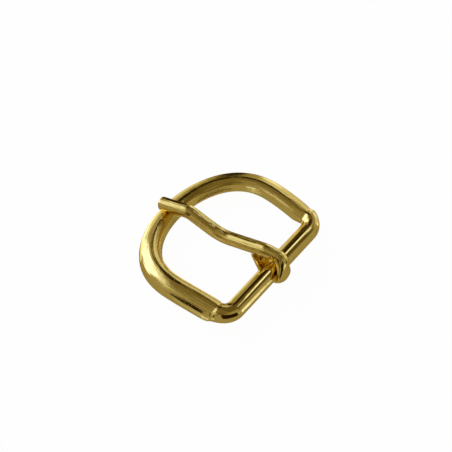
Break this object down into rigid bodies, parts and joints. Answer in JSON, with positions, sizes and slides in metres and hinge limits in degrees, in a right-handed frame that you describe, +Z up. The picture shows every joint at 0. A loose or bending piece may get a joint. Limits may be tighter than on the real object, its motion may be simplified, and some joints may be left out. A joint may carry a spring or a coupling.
{
  "type": "half-d belt buckle",
  "caption": "Half-D heel-bar buckle: a wire frame with a pressed, arched D rim, and a wire prong that swings on the straight bar.",
  "frame": {"origin": "on the axis of the straight bar, midway between the corners", "axes": "+X from the bar to the bow of the D, +Y along the bar, +Z up from the surface that the buckle lies on"},
  "size_m": [0.0465, 0.0562, 0.0124],
  "materials": {
    "frame_brass": "polished",
    "prong_brass": "polished, drawn wire"
  },
  "bodies": {
    "frame": {"frame": "frame_brass"},
    "prong": {"prong": "prong_brass"}
  },
  "joints": [
    {"name": "prong_hinge", "type": "hinge", "parent": "frame", "child": "prong", "pos_m": [0, 0, 0], "axis": [0, -1, 0], "range_deg": [0, 175]}
  ]
}
